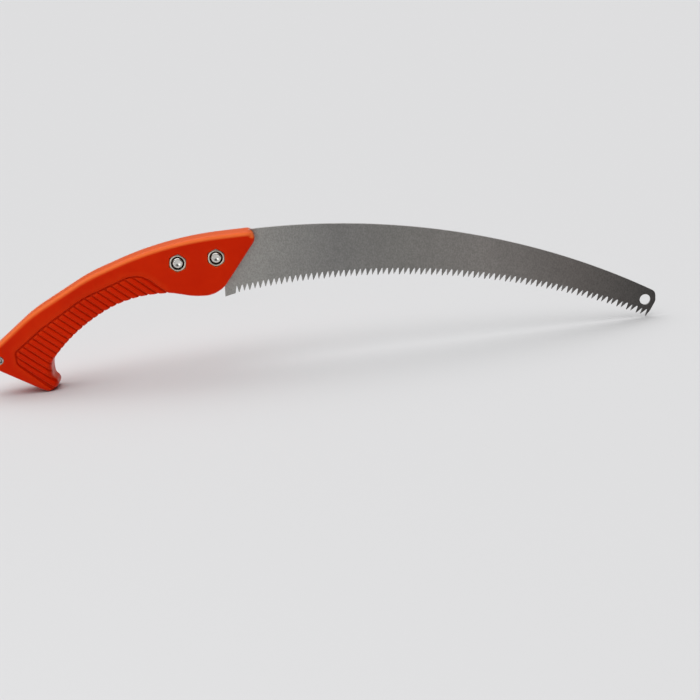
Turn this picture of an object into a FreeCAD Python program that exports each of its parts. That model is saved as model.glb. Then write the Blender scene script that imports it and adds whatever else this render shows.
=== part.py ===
"""Curved pruning saw: a fixed pull-cut blade bolted between the two halves of a hooked plastic handle.

The saw stands in the XZ plane on its hook and on its last tooth, with the blade towards +X, the teeth
down and the nuts on the -Y side. Outlines are drawn in X and Z from the hook's foot; the whole saw is
then centred on its length. Millimetres.
"""

import FreeCAD, Part
import math
import os

Vec = FreeCAD.Vector
ALONG_Y = Vec(0, 1, 0)

# Handle: two shells that meet on the blade's mid plane
HALF_WIDTH = 10.5
EDGE_ROUND = 4.0
WALL = 2.8
HANDLE_OUTLINE = (          # corner x, z and the radius that rounds it, clockwise from the butt
    (-45.5, 29.0, 6.0),
    (-1.5, 61.0, 125.0),
    (43.5, 83.5, 130.0),
    (104.5, 103.0, 260.0),
    (175.0, 103.0, 5.5),
    (137.8, 57.7, 22.0),
    (118.9, 59.5, 50.0),
    (103.0, 64.0, 24.0),
    (69.5, 65.0, 88.0),
    (28.5, 43.5, 130.0),
    (6.5, 21.5, 14.0),
    (6.4, 10.2, 5.5),
    (12.2, 4.4, 4.3),
    (2.0, -1.2, 6.0),
)

# Grip panel: parallel grooves inside a border groove, cut into the skin of both shells
PANEL_OUTLINE = (           # runs past the underside, so the grooves wrap round the lower edge
    (112.0, 54.4, 0.0),
    (81.9, 83.4, 20.0),
    (38.5, 68.7, 60.0),
    (4.2, 49.4, 60.0),
    (-18.4, 33.5, 5.0),
    (-18.4, 23.4, 7.0),
    (9.0, -4.0, 0.0),
)
GROOVE_DEPTH = 0.9
GROOVE_WIDTH = 1.3
GROOVE_PITCH = 4.74
GROOVE_SLOPE = math.radians(-41.5)
GROOVE_COUNT = 33
GROOVE_START = Vec(-42.4, 0, -18.8)
GROOVE_LENGTH = 160.0

# Blade: steel strip between two arcs, with the teeth on the lower one
BLADE_THICKNESS = 1.2
BACK_CENTRE = (167.5, -460.0)
BACK_RADIUS = 562.8
BACK_END = 456.0            # x where the back's arc gives way to the end's rounding
TOOTH_CENTRE = (207.5, -490.8)
TOOTH_RADIUS = 550.0
TOOTH_PITCH = 4.0
TOOTH_COUNT = 79
TOOTH_DEPTH = 5.0
FIRST_TOOTH_ANGLE = math.radians(-5.8)
TOOTH_TOP = 0.45            # flat left at a tooth's tip
TOOTH_LEAD = 0.35           # how far the cutting flank leans
TOOTH_ROOT_GAP = 0.35       # bottom of a gullet
TOOTH_BEVEL = 0.5           # how far the flanks are ground back on the inner face
TIP_BEVEL = 1.3             # how far the tip is ground down on the inner face
TOOTH_SET = 0.25            # how far a tip is bent out
TOOTH_ROOT = 0.4            # how far a tooth runs up into the strip
HEEL = ((149.4, 55.9), (141.5, 54.2))
HEEL_TOP = (142.3, 65.5)
TANG_BELLY = (136.0, 72.0)
TANG_END = ((112.0, 74.6), (100.6, 85.8), (112.0, 97.0))
TANG_SHOULDER = ((157.0, 97.4), (164.2, 102.75))
BLADE_END = (               # rounded corners of the far end, from the back down to the last tooth
    (463.3, 18.8, 5.0),
    (463.2, 11.6, 4.0),
    (458.6, 4.2, 5.0),
)
HANG_HOLE = (455.2, 13.4)
HANG_HOLE_RADIUS = 4.0

# Blade bolts: M8 with small-series nuts, 12 mm across the flats
BOLT_CENTRES = {"rear": (111.1, 85.8), "front": (139.4, 86.4)}
NUT_TURN = {"rear": 79.0, "front": 84.0}    # direction of one corner, degrees
BOLT_RADIUS = 4.0
BOLT_HOLE_RADIUS = 4.2
BOLT_PROUD = 0.4            # both ends stand this far out of the shells
NUT_ACROSS = 12.0
NUT_HEIGHT = 5.2
NUT_INSET = 0.2
NUT_CHAMFER = 0.6           # rise of the corner chamfer for each millimetre outward
NUT_MOUTH = 0.8             # countersink round the thread
POCKET_GAP = 0.15
HEAD_RADIUS = 6.5
HEAD_HEIGHT = 4.4
HEAD_ROUND = 1.2
BOLT_POINT = 0.7            # chamfer of the threaded end
DIMPLE_RADIUS = 1.6
DIMPLE_DEPTH = 0.5
SOCKET_ACROSS = 5.0
SOCKET_DEPTH = 2.6
WASHER_RADIUS = 7.6
WASHER_THICKNESS = 1.4
COUNTERBORE_RADIUS = 8.0

# Grip screws: 4 mm self-tapping screws in moulded posts
SCREW_CENTRES = {"rear": (4.0, 42.5), "front": (68.0, 74.0)}
SCREW_RADIUS = 2.0
SCREW_HOLE_RADIUS = 2.2
SCREW_HEAD_RADIUS = 3.7
SCREW_HEAD_HEIGHT = 2.4
SCREW_SINK = 3.0
SCREW_REACH = 6.5           # how far the shank runs into the nut side's post
SCREW_BORE_RADIUS = 4.1
SCREW_POINT = 1.5
SCREW_HEAD_ROUND = 1.1
CROSS_LENGTH = 4.0
CROSS_WIDTH = 0.9
CROSS_DEPTH = 1.4
POST_RADIUS = 5.2

# Lanyard eyelet at the butt
EYELET_CENTRE = (-30.3, 28.3)
EYELET_BORE = 2.2
EYELET_TUBE = 2.8
EYELET_FLANGE = 3.3
EYELET_FLANGE_THICKNESS = 0.7
EYELET_INSET = 0.15
EYELET_BOSS = 6.0

# Inside the shells
CAVITY_END = 92.0           # the shells are solid from here forward, to clamp the tang
RIB_THICKNESS = 1.8
RIB_STATIONS = ((-13.0, 35.0), (22.0, 52.0), (38.0, 62.0), (53.0, 70.0), (84.0, 80.0))
PEG_CENTRES = ((122.5, 66.0), (-8.0, 20.5))
PEG_RADIUS = 2.0
PEG_LENGTH = 3.0
PEG_GAP = 0.1
PEG_BOSS = 4.2
SLOT_GAP = 0.15             # room round the tang in its recess
SLOT_RELIEF = 0.02          # and on each of its faces
TANG_END_ROOM = 4.0         # room behind the tang's round end
TANG_END_ROUND = 9.0
RIB_HEIGHT = 60.0
RIB_TURN = 30.0             # ribs lean with the grip, degrees

# Cutters that go right through reach this far past the mid plane
THROUGH = 20.0
BEYOND = 1.0


def flat(x, z, y=0.0):
    """A point given by its place in the saw's own plane."""
    return Vec(x, y, z)


def rounded_wire(corners, inset=0.0):
    """Closed wire through clockwise corners, each rounded by its own radius, moved in by inset."""
    count = len(corners)
    points = [flat(x, z) for x, z, _ in corners]
    sides = [(points[(i + 1) % count] - points[i]).normalize() for i in range(count)]
    inward = [Vec(side.z, 0, -side.x) for side in sides]
    edges = []
    last = None
    first = None
    for i in range(count):
        before = sides[i - 1]
        after = sides[i]
        bend = before.x * after.z - before.z * after.x
        half = before.getAngle(after) / 2
        corner = points[i] + (inward[i - 1] + inward[i]) * (inset / (1 + before.dot(after)))
        radius = corners[i][2]
        if radius > 0:
            radius = radius - inset if bend < 0 else radius + inset
        reach = radius * math.tan(half)
        start = corner - before * reach
        end = corner + after * reach
        if last is not None:
            edges.append(Part.makeLine(last, start))
        else:
            first = start
        if radius > 0:
            bulge = radius * (1 / math.cos(half) - 1)
            middle = corner + (after - before).normalize() * bulge
            edges.append(Part.Arc(start, middle, end).toShape())
        last = end
    edges.append(Part.makeLine(last, first))
    return Part.Wire(edges)


def slab(wire, low, high):
    """Solid between two Y planes whose section is the wire."""
    section = Part.Face(wire)
    section.translate(Vec(0, low, 0))
    return section.extrude(Vec(0, high - low, 0))


def rod(centre, radius, low, high):
    """Round bar along Y, between two Y planes."""
    return Part.makeCylinder(radius, high - low, flat(centre[0], centre[1], low), ALONG_Y)


def hexagon(centre, across, turn, low, high):
    """Hexagonal bar along Y with one corner in the direction turn, in degrees."""
    reach = across / 2 / math.cos(math.radians(30))
    corners = []
    for k in range(7):
        angle = math.radians(turn + 60 * k)
        corners.append(flat(centre[0] + reach * math.cos(angle), centre[1] + reach * math.sin(angle)))
    return slab(Part.makePolygon(corners), low, high)


def on_arc(centre, radius, angle):
    """Point on an arc, with the angle measured from straight up towards +X."""
    return flat(centre[0] + radius * math.sin(angle), centre[1] + radius * math.cos(angle))


def half_handle(side, inset):
    """Handle half on one side of the mid plane, with its outer edge rounded."""
    depth = HALF_WIDTH - inset
    low, high = sorted((0.0, side * depth))
    body = slab(rounded_wire(HANDLE_OUTLINE, inset), low, high)
    rim = []
    for edge in body.Edges:
        box = edge.BoundBox
        if abs(box.YMin - side * depth) < 0.01 and abs(box.YMax - side * depth) < 0.01:
            rim.append(edge)
    return body.makeFillet(EDGE_ROUND - inset, rim)


def grip_grooves(side):
    """Grooves of one side's grip panel: everything they take out of the skin."""
    low, high = sorted((-side * GROOVE_DEPTH, side * (HALF_WIDTH + BEYOND)))
    panel = slab(rounded_wire(PANEL_OUTLINE), low, high)
    inner = slab(rounded_wire(PANEL_OUTLINE, GROOVE_WIDTH), low - BEYOND, high + BEYOND)
    pieces = [panel.cut(inner)]
    step = Vec(-math.sin(GROOVE_SLOPE), 0, math.cos(GROOVE_SLOPE)) * GROOVE_PITCH
    for k in range(GROOVE_COUNT):
        bar = Part.makeBox(GROOVE_LENGTH, high - low, GROOVE_WIDTH, Vec(-GROOVE_LENGTH / 2, low, 0))
        bar.rotate(Vec(0, 0, 0), ALONG_Y, -math.degrees(GROOVE_SLOPE))
        bar.translate(GROOVE_START + step * k)
        piece = bar.common(inner)
        if piece.Volume > 1:
            pieces.append(piece)
    grooves = pieces[0].multiFuse(pieces[1:])
    return grooves.cut(half_handle(side, GROOVE_DEPTH))


def tang_recess():
    """Room for the tang and the blade's heel between the shells."""
    rear = TANG_END[1][0] - TANG_END_ROOM
    rise = (TANG_SHOULDER[1][1] - TANG_SHOULDER[0][1]) / (TANG_SHOULDER[1][0] - TANG_SHOULDER[0][0])
    front = HANDLE_OUTLINE[4][0]
    corners = (
        (TANG_END[0][0], TANG_END[0][1], 0.0),
        (rear, TANG_END[0][1], TANG_END_ROUND),
        (rear, TANG_END[2][1], TANG_END_ROUND),
        (TANG_SHOULDER[0][0], TANG_SHOULDER[0][1], 0.0),
        (front, TANG_SHOULDER[0][1] + rise * (front - TANG_SHOULDER[0][0]), 0.0),
        (front, HEEL[1][1], 0.0),
        (HEEL[1][0], HEEL[1][1], 0.0),
        (HEEL_TOP[0], HEEL_TOP[1], 0.0),
        (TANG_BELLY[0], TANG_BELLY[1], 0.0),
    )
    half = BLADE_THICKNESS / 2 + SLOT_RELIEF
    return slab(rounded_wire(corners, -SLOT_GAP), -half, half)


def cavity(side):
    """Hollow of one handle half, less its ribs, posts and bosses."""
    low, high = sorted((0.0, side * (HALF_WIDTH - WALL)))
    hollow = slab(rounded_wire(HANDLE_OUTLINE, WALL), low, high)
    reach = 2 * GROOVE_LENGTH
    corner = Vec(CAVITY_END - reach, -THROUGH, -reach / 2)
    hollow = hollow.common(Part.makeBox(reach, 2 * THROUGH, reach, corner))
    for x, z in RIB_STATIONS:
        corner = Vec(-RIB_THICKNESS / 2, -THROUGH, -RIB_HEIGHT / 2)
        rib = Part.makeBox(RIB_THICKNESS, 2 * THROUGH, RIB_HEIGHT, corner)
        rib.rotate(Vec(0, 0, 0), ALONG_Y, RIB_TURN)
        rib.translate(flat(x, z))
        hollow = hollow.cut(rib)
    for centre in SCREW_CENTRES.values():
        hollow = hollow.cut(rod(centre, POST_RADIUS, -THROUGH, THROUGH))
    hollow = hollow.cut(rod(EYELET_CENTRE, EYELET_BOSS, -THROUGH, THROUGH))
    return hollow.cut(rod(PEG_CENTRES[1], PEG_BOSS, -THROUGH, THROUGH))


def shell(side):
    """One handle half before its own bolt, screw and peg features."""
    body = half_handle(side, 0.0)
    body = body.cut(grip_grooves(side))
    body = body.cut(cavity(side))
    body = body.cut(tang_recess())
    for centre in BOLT_CENTRES.values():
        body = body.cut(rod(centre, BOLT_HOLE_RADIUS, -THROUGH, THROUGH))
    face = side * (HALF_WIDTH - EYELET_INSET - EYELET_FLANGE_THICKNESS)
    low, high = sorted((face, side * THROUGH))
    body = body.cut(rod(EYELET_CENTRE, EYELET_TUBE, -THROUGH, THROUGH))
    return body.cut(rod(EYELET_CENTRE, EYELET_FLANGE + POCKET_GAP, low, high))


def nut_side_shell():
    """Handle half with the hexagonal nut pockets, the blind screw holes and the pegs."""
    body = shell(-1)
    floor = NUT_HEIGHT + NUT_INSET - HALF_WIDTH
    for name, centre in BOLT_CENTRES.items():
        pocket = hexagon(centre, NUT_ACROSS + 2 * POCKET_GAP, NUT_TURN[name], -THROUGH, floor)
        body = body.cut(pocket)
    for centre in SCREW_CENTRES.values():
        body = body.cut(rod(centre, SCREW_RADIUS, -SCREW_REACH, BEYOND))
    for centre in PEG_CENTRES:
        body = body.fuse(rod(centre, PEG_RADIUS, -BEYOND, PEG_LENGTH))
    return body


def bolt_side_shell():
    """Handle half with the round counterbores for the bolt and screw heads and the peg sockets."""
    body = shell(1)
    seat = HALF_WIDTH + BOLT_PROUD - HEAD_HEIGHT - WASHER_THICKNESS
    for centre in BOLT_CENTRES.values():
        body = body.cut(rod(centre, COUNTERBORE_RADIUS, seat, THROUGH))
    for centre in SCREW_CENTRES.values():
        body = body.cut(rod(centre, SCREW_HOLE_RADIUS, -BEYOND, THROUGH))
        body = body.cut(rod(centre, SCREW_BORE_RADIUS, HALF_WIDTH - SCREW_SINK, THROUGH))
    for centre in PEG_CENTRES:
        body = body.cut(rod(centre, PEG_RADIUS + PEG_GAP, -BEYOND, PEG_LENGTH + PEG_GAP))
    return body


def tooth(index):
    """One tooth, bent out to its own side and ground on both flanks and the tip of its inner face."""
    side = 1 if index % 2 else -1
    angle = FIRST_TOOTH_ANGLE + index * TOOTH_PITCH / TOOTH_RADIUS
    tip = on_arc(TOOTH_CENTRE, TOOTH_RADIUS, angle)
    along = Vec(math.cos(angle), 0, -math.sin(angle))
    inward = Vec(math.sin(angle), 0, math.cos(angle))
    half = BLADE_THICKNESS / 2
    deep = TOOTH_DEPTH + TOOTH_ROOT
    left = -TOOTH_LEAD
    right = TOOTH_PITCH - TOOTH_LEAD - TOOTH_ROOT_GAP

    def corner(u, w, y):
        return tip + along * u + inward * w + Vec(0, side * y, 0)

    shorter = 1 - TIP_BEVEL / TOOTH_DEPTH
    outer = (corner(left, deep, half), corner(0, 0, half + TOOTH_SET),
             corner(TOOTH_TOP, 0, half + TOOTH_SET), corner(right, deep, half))
    lean = TOOTH_SET * shorter - half
    inner = (corner(left + TOOTH_BEVEL, deep, -half), corner(TOOTH_TOP / 2, TIP_BEVEL, lean),
             corner(TOOTH_TOP, TIP_BEVEL, lean), corner(right - TOOTH_BEVEL, deep, -half))
    rings = [Part.makePolygon(list(ring) + [ring[0]]) for ring in (outer, inner)]
    return Part.makeLoft(rings, True, True)


def blade_end():
    """Edges of the blade's far end, from the back to the last tooth, and the points that they join."""
    start = on_arc(BACK_CENTRE, BACK_RADIUS, math.asin((BACK_END - BACK_CENTRE[0]) / BACK_RADIUS))
    last = FIRST_TOOTH_ANGLE + (TOOTH_COUNT - 1) * TOOTH_PITCH / TOOTH_RADIUS
    tip = on_arc(TOOTH_CENTRE, TOOTH_RADIUS, last)
    points = [start] + [flat(x, z) for x, z, _ in BLADE_END] + [tip + Vec(TOOTH_TOP, 0, 0)]
    edges = []
    here = start
    for i in range(1, len(points) - 1):
        before = (points[i] - points[i - 1]).normalize()
        after = (points[i + 1] - points[i]).normalize()
        half = before.getAngle(after) / 2
        radius = BLADE_END[i - 1][2]
        enter = points[i] - before * (radius * math.tan(half))
        leave = points[i] + after * (radius * math.tan(half))
        middle = points[i] + (after - before).normalize() * (radius * (1 / math.cos(half) - 1))
        edges.append(Part.makeLine(here, enter))
        edges.append(Part.Arc(enter, middle, leave).toShape())
        here = leave
    edges.append(Part.makeLine(here, points[-1]))
    edges.append(Part.makeLine(points[-1], tip))
    return edges, start, tip, last


def blade():
    """Steel strip with its tang, heel, bolt holes, hang hole and teeth."""
    end_edges, back_end, last_tip, last_angle = blade_end()
    root_radius = TOOTH_RADIUS + TOOTH_DEPTH
    root_lead = TOOTH_LEAD / TOOTH_RADIUS
    root_end = on_arc(TOOTH_CENTRE, root_radius, last_angle - root_lead)
    root_start = on_arc(TOOTH_CENTRE, root_radius, FIRST_TOOTH_ANGLE - 2 * root_lead)
    root_middle = on_arc(TOOTH_CENTRE, root_radius, (FIRST_TOOTH_ANGLE + last_angle) / 2)
    shoulder_angle = math.asin((TANG_SHOULDER[1][0] - BACK_CENTRE[0]) / BACK_RADIUS)
    back_start = on_arc(BACK_CENTRE, BACK_RADIUS, shoulder_angle)
    end_angle = math.atan2(back_end.x - BACK_CENTRE[0], back_end.z - BACK_CENTRE[1])
    back_middle = on_arc(BACK_CENTRE, BACK_RADIUS, (shoulder_angle + end_angle) / 2)
    line = [root_start] + [flat(x, z) for x, z in HEEL]
    line += [flat(*HEEL_TOP), flat(*TANG_BELLY), flat(*TANG_END[0])]
    edges = [Part.Arc(back_start, back_middle, back_end).toShape()] + end_edges
    edges.append(Part.makeLine(last_tip, root_end))
    edges.append(Part.Arc(root_end, root_middle, root_start).toShape())
    for i in range(len(line) - 1):
        edges.append(Part.makeLine(line[i], line[i + 1]))
    edges.append(Part.Arc(*[flat(x, z) for x, z in TANG_END]).toShape())
    edges.append(Part.makeLine(flat(*TANG_END[2]), flat(*TANG_SHOULDER[0])))
    edges.append(Part.makeLine(flat(*TANG_SHOULDER[0]), back_start))
    half = BLADE_THICKNESS / 2
    strip = slab(Part.Wire(edges), -half, half)
    strip = strip.multiFuse([tooth(i) for i in range(TOOTH_COUNT - 1)])
    for centre in BOLT_CENTRES.values():
        strip = strip.cut(rod(centre, BOLT_HOLE_RADIUS, -THROUGH, THROUGH))
    return strip.cut(rod(HANG_HOLE, HANG_HOLE_RADIUS, -THROUGH, THROUGH))


def blade_nut(name):
    """Hex nut with both faces chamfered and its bore countersunk."""
    centre = BOLT_CENTRES[name]
    low = NUT_INSET - HALF_WIDTH
    high = low + NUT_HEIGHT
    reach = NUT_ACROSS / 2 / math.cos(math.radians(30))
    slope = reach - NUT_ACROSS / 2
    body = hexagon(centre, NUT_ACROSS, NUT_TURN[name], low, high)
    fall = NUT_CHAMFER * (reach + slope - NUT_ACROSS / 2)
    cone = Part.makeCone(NUT_ACROSS / 2, reach + slope, fall, flat(centre[0], centre[1], low), ALONG_Y)
    barrel = rod(centre, reach + slope, low + fall, high)
    body = body.common(cone.fuse(barrel))
    body = body.cut(rod(centre, BOLT_RADIUS, low - BEYOND, high + BEYOND))
    foot = flat(centre[0], centre[1], low)
    mouth = Part.makeCone(BOLT_RADIUS + NUT_MOUTH, BOLT_RADIUS, NUT_MOUTH, foot, ALONG_Y)
    return body.cut(mouth)


def blade_bolt(name):
    """Bolt with a low round head, a hex socket and a chamfered, dimpled end."""
    centre = BOLT_CENTRES[name]
    end = -HALF_WIDTH - BOLT_PROUD
    top = HALF_WIDTH + BOLT_PROUD
    seat = top - HEAD_HEIGHT
    shank = rod(centre, BOLT_RADIUS, end + BOLT_POINT, seat)
    foot = flat(centre[0], centre[1], end)
    point = Part.makeCone(BOLT_RADIUS - BOLT_POINT, BOLT_RADIUS, BOLT_POINT, foot, ALONG_Y)
    dimple = Part.makeCone(DIMPLE_RADIUS, DIMPLE_RADIUS / 4, DIMPLE_DEPTH, foot, ALONG_Y)
    head = rod(centre, HEAD_RADIUS, seat, top)
    rim = [edge for edge in head.Edges if abs(edge.BoundBox.YMin - top) < 0.01]
    head = head.makeFillet(HEAD_ROUND, rim)
    socket = hexagon(centre, SOCKET_ACROSS, 0, top - SOCKET_DEPTH, top + BEYOND)
    return shank.fuse(point).fuse(head).cut(dimple).cut(socket)


def washer(name):
    """Flat washer between a bolt's head and its counterbore."""
    centre = BOLT_CENTRES[name]
    high = HALF_WIDTH + BOLT_PROUD - HEAD_HEIGHT
    low = high - WASHER_THICKNESS
    hole = rod(centre, BOLT_HOLE_RADIUS, low - BEYOND, high + BEYOND)
    return rod(centre, WASHER_RADIUS, low, high).cut(hole)


def grip_screw(name):
    """Self-tapping screw with a pan head and a cross recess."""
    centre = SCREW_CENTRES[name]
    seat = HALF_WIDTH - SCREW_SINK
    top = seat + SCREW_HEAD_HEIGHT
    shank = rod(centre, SCREW_RADIUS, SCREW_POINT - SCREW_REACH, seat)
    foot = flat(centre[0], centre[1], -SCREW_REACH)
    point = Part.makeCone(SCREW_RADIUS / 3, SCREW_RADIUS, SCREW_POINT, foot, ALONG_Y)
    head = rod(centre, SCREW_HEAD_RADIUS, seat, top)
    rim = [edge for edge in head.Edges if abs(edge.BoundBox.YMin - top) < 0.01]
    head = head.makeFillet(SCREW_HEAD_ROUND, rim)
    body = shank.fuse(point).fuse(head)
    for wide, tall in ((CROSS_LENGTH, CROSS_WIDTH), (CROSS_WIDTH, CROSS_LENGTH)):
        corner = flat(centre[0] - wide / 2, centre[1] - tall / 2, top - CROSS_DEPTH)
        body = body.cut(Part.makeBox(wide, CROSS_DEPTH + BEYOND, tall, corner))
    return body


def lanyard_eyelet():
    """Tubular rivet through both shells, flanged at both ends."""
    face = HALF_WIDTH - EYELET_INSET
    body = rod(EYELET_CENTRE, EYELET_TUBE, -face, face)
    inner = face - EYELET_FLANGE_THICKNESS
    body = body.fuse(rod(EYELET_CENTRE, EYELET_FLANGE, -face, -inner))
    body = body.fuse(rod(EYELET_CENTRE, EYELET_FLANGE, inner, face))
    return body.cut(rod(EYELET_CENTRE, EYELET_BORE, -THROUGH, THROUGH))


def build():
    """Every piece by name, drawn from the hook's foot."""
    pieces = {
        "blade": blade(),
        "nut_side_shell": nut_side_shell(),
        "bolt_side_shell": bolt_side_shell(),
        "lanyard_eyelet": lanyard_eyelet(),
    }
    for name in BOLT_CENTRES:
        pieces[name + "_blade_bolt"] = blade_bolt(name)
        pieces[name + "_blade_nut"] = blade_nut(name)
        pieces[name + "_washer"] = washer(name)
        pieces[name + "_grip_screw"] = grip_screw(name)
    return pieces


pieces = build()
whole = Part.makeCompound(list(pieces.values())).optimalBoundingBox(False, False)
shift = Vec(-(whole.XMin + whole.XMax) / 2, 0, -whole.ZMin)
os.makedirs("parts", exist_ok=True)
for name, shape in pieces.items():
    shape.translate(shift)
    shape.exportStep("parts/" + name + ".step")
    print(name, "solids", len(shape.Solids), "valid", shape.isValid(), "volume", round(shape.Volume))
print("size", round(whole.XLength, 2), round(whole.YLength, 2), round(whole.ZLength, 2))
for label, centre in (("hang hole", HANG_HOLE), ("eyelet", EYELET_CENTRE)):
    print(label, round(centre[0] + shift.x, 3), round(centre[1] + shift.z, 3))
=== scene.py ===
"""Looks of the curved pruning saw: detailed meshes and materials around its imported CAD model.

Outlines are in the CAD model's own millimetres, measured from the hook's foot, and every piece is
placed by the boxes of the CAD nodes. The saw stands in the XZ plane, nuts on the -Y side.
"""

import math

import bmesh
import bpy
import numpy as np
from mathutils import Matrix, Vector
from mathutils.geometry import delaunay_2d_cdt
from mathutils.kdtree import KDTree


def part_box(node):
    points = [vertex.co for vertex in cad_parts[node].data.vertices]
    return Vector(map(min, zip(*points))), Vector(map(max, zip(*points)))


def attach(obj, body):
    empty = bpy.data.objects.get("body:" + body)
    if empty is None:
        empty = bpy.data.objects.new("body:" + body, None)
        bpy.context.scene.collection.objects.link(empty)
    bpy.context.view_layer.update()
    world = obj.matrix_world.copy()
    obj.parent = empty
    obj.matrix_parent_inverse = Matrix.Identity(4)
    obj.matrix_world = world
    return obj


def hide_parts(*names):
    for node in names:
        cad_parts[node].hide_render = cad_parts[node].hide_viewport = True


MM = 0.001

# Camera: aimed at a point under the middle of the blade, a little above level and turned on its axis
VIEW_TARGET = (0.01783, 0.0, 0.00139)
VIEW_DISTANCE = 1.0157
VIEW_AZIMUTH = -0.962
VIEW_ELEVATION = 17.35
VIEW_ROLL = -6.53
LENS = 69.0
SENSOR = 36.0
VIEW_REACH = 200.0

# Sky: dim all round, with soft bright parts given by direction, the cosines between which each one
# fades in, and its strength
SKY_DIM = 0.04
SKY_PARTS = (
    ((-0.18, 0.08, 1.0), (0.50, 0.98), 2.45),   # overhead
    ((0.40, 1.0, 0.25), (0.60, 0.98), 0.24),    # behind
)
ROOM_WALL = (0.74, 0.74, 0.74, 1)               # what the camera itself sees beyond the floor
FLOOR_PAPER = (0.65, 0.65, 0.657, 1)
FLOOR_RADIUS = 40.0
WINDOW_AT = (-0.50, -0.85, 0.12)                # a low lamp in front of the handle
WINDOW_AIM = (-0.05, 0.0, 0.07)
WINDOW_SIZE = 0.35
WINDOW_POWER = 0.7

# Handle
HANDLE_OUTLINE = (          # corner x, z and the radius that rounds it, clockwise from the butt
    (-45.5, 29.0, 6.0),
    (-1.5, 61.0, 125.0),
    (43.5, 83.5, 130.0),
    (104.5, 103.0, 260.0),
    (175.0, 103.0, 5.5),
    (137.8, 57.7, 22.0),
    (118.9, 59.5, 50.0),
    (103.0, 64.0, 24.0),
    (69.5, 65.0, 88.0),
    (28.5, 43.5, 130.0),
    (6.5, 21.5, 14.0),
    (6.4, 10.2, 5.5),
    (12.2, 4.4, 4.3),
    (2.0, -1.2, 6.0),
)
PANEL_OUTLINE = (           # edge of the ribbed grip panel, open under the grip and past the toe
    (9.0, -4.0, 0.0),
    (-18.4, 23.4, 7.0),
    (-18.4, 33.5, 5.0),
    (4.2, 49.4, 60.0),
    (38.5, 68.7, 60.0),
    (81.9, 83.4, 20.0),
    (112.0, 54.4, 0.0),
)
GROOVE_DEPTH = 1.20
GROOVE_HALF = 0.95          # half a groove's width at the skin
GROOVE_FLOOR = 0.25         # half its flat floor
GROOVE_PITCH = 4.74
GROOVE_SLOPE = math.radians(-41.5)
GROOVE_ORIGIN = (-42.0, -18.3)
GROOVE_COUNT = 36
GROOVE_ROWS = 16            # rows of mesh points across each groove and its rib
GROOVE_WRAP = 0.45          # share of the depth left where a groove turns onto the underside
NECK_AT = (8.0, 11.0)       # middle of the hook's hollow, where the grooves run out on the edge
NECK_REACH = (9.0, 16.0)
RIB_CROWN = 0.20            # how far a rib's shoulders lie under its crown
CORNER_SOFT = 1.1           # rounds the ribs' ends into the border groove
EDGE_TOP = (3.3, 3.4)       # edge rounding on top: inward and across the width
EDGE_UNDER = (1.7, 2.0)     # along the underside and both ends
EDGE_NECK = (3.6, 5.0)      # and inside the hook
TOP_CROWN = 0.9             # how far the top falls from the seam to its edge
SEAM = 0.18                 # bevel of the line where the shells meet
FINE_STEP = 0.30            # mesh points along the handle's outline, by the grooves
COARSE_STEP = 1.2           # and elsewhere
RIM_GAP = 0.25              # mesh points of the flat side stay this far from its rim

CLOUDY_PLASTIC = ((0.3, (0.72, 0.007, 0.0)), (0.7, (0.80, 0.015, 0.0)))
RUBBED_HIGHLIGHT_PLASTIC = (0.86, 0.060, 0.006, 1)    # on convex edges: rubbed wear and a painted highlight
TOP_LIGHT_PLASTIC = (0.77, 0.092, 0.006)        # painted light from above: lighter, more orange on what faces up
RIDGE_HIGHLIGHT_PLASTIC = (0.92, 0.165, 0.035)        # painted highlight along the rounded edges of the top
SHADED_GROOVE_PLASTIC = (0.34, 0.006, 0.001, 1)     # painted shade in the grip's grooves
GROOVE_SHADE_STRENGTH = 0.36                          # how much of that painted shade shows there
GROOVE_SHADE = -6.0                         # how fast the painted top light and edge highlight end inside a groove

# Fasteners
NUT_TURN = {"rear": 79.0, "front": 84.0}
NUT_ACROSS = 12.0
NUT_CORNER = 0.35           # how far its corners are cut back
NUT_CHAMFER = 0.6           # rise of the corner chamfer for each millimetre outward
POCKET_GAP = 0.15
POCKET_CORNER = 0.3
LIP = 0.35                  # rounding of a pocket's mouth
BOLT_RADIUS = 4.0
BOLT_HOLE = 4.2
THREAD_PITCH = 1.25
THREAD_TURNS = 5
HEAD_HEIGHT = 4.4
SOCKET_ACROSS = 5.0
COUNTERBORE = 8.0
WASHER_RADIUS = 7.6
SCREW_BORE = 4.1
SCREW_HOLE = 2.2
SCREW_SINK = 3.0
SCREW_HEAD = 2.4
SCREW_THREAD = 1.2
EYELET_AT = (-30.3, 28.3)
EYELET_SINK = 0.85
EYELET_TUBE = 2.8
EYELET_FLANGE = 3.3
EYELET_BORE = 2.2
TURN_STEPS = 60             # points round a turned piece
FINE_TURN = 96              # and round one with a hexagon or a cross in it

# painted shade on the fasteners, down in the handle's pockets and bores
FASTENER_PAINTED_SHADE = (0.12, 0.112, 0.10, 1)
PAINTED_SHADE_DEPTH = 0.35          # how far below a nut's face the painted shade begins
PAINTED_SHADE_END = 3.0             # Y where it ends, inside the handle
PAINTED_SHADE_FADE = 0.6

# Blade
BLADE_HALF = 0.6
BACK_CENTRE = np.array((167.5, -460.0))
BACK_RADIUS = 562.8
BACK_END = 456.0
TOOTH_CENTRE = np.array((207.5, -490.8))
TOOTH_RADIUS = 550.0
TOOTH_PITCH = 4.0
TOOTH_COUNT = 79
TOOTH_DEPTH = 5.0
FIRST_TOOTH = math.radians(-5.8)
TOOTH_TOP = 0.45            # flat left at a tooth's tip
TOOTH_LEAD = 0.35           # how far the cutting flank leans
TOOTH_GAP = 0.35            # bottom of a gullet
TOOTH_BEVEL = 0.5           # how far the flanks are ground back on the inner face
TIP_BEVEL = 1.3             # how far the tip is ground down on the inner face
TOOTH_SET = 0.25            # how far a tip is bent out
BLADE_CHAMFER = 0.12
HEEL = ((149.4, 55.9), (141.5, 54.2), (142.3, 65.5), (136.0, 72.0))
TANG_CENTRE = (112.0, 85.8)
TANG_RADIUS = 11.2
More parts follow.
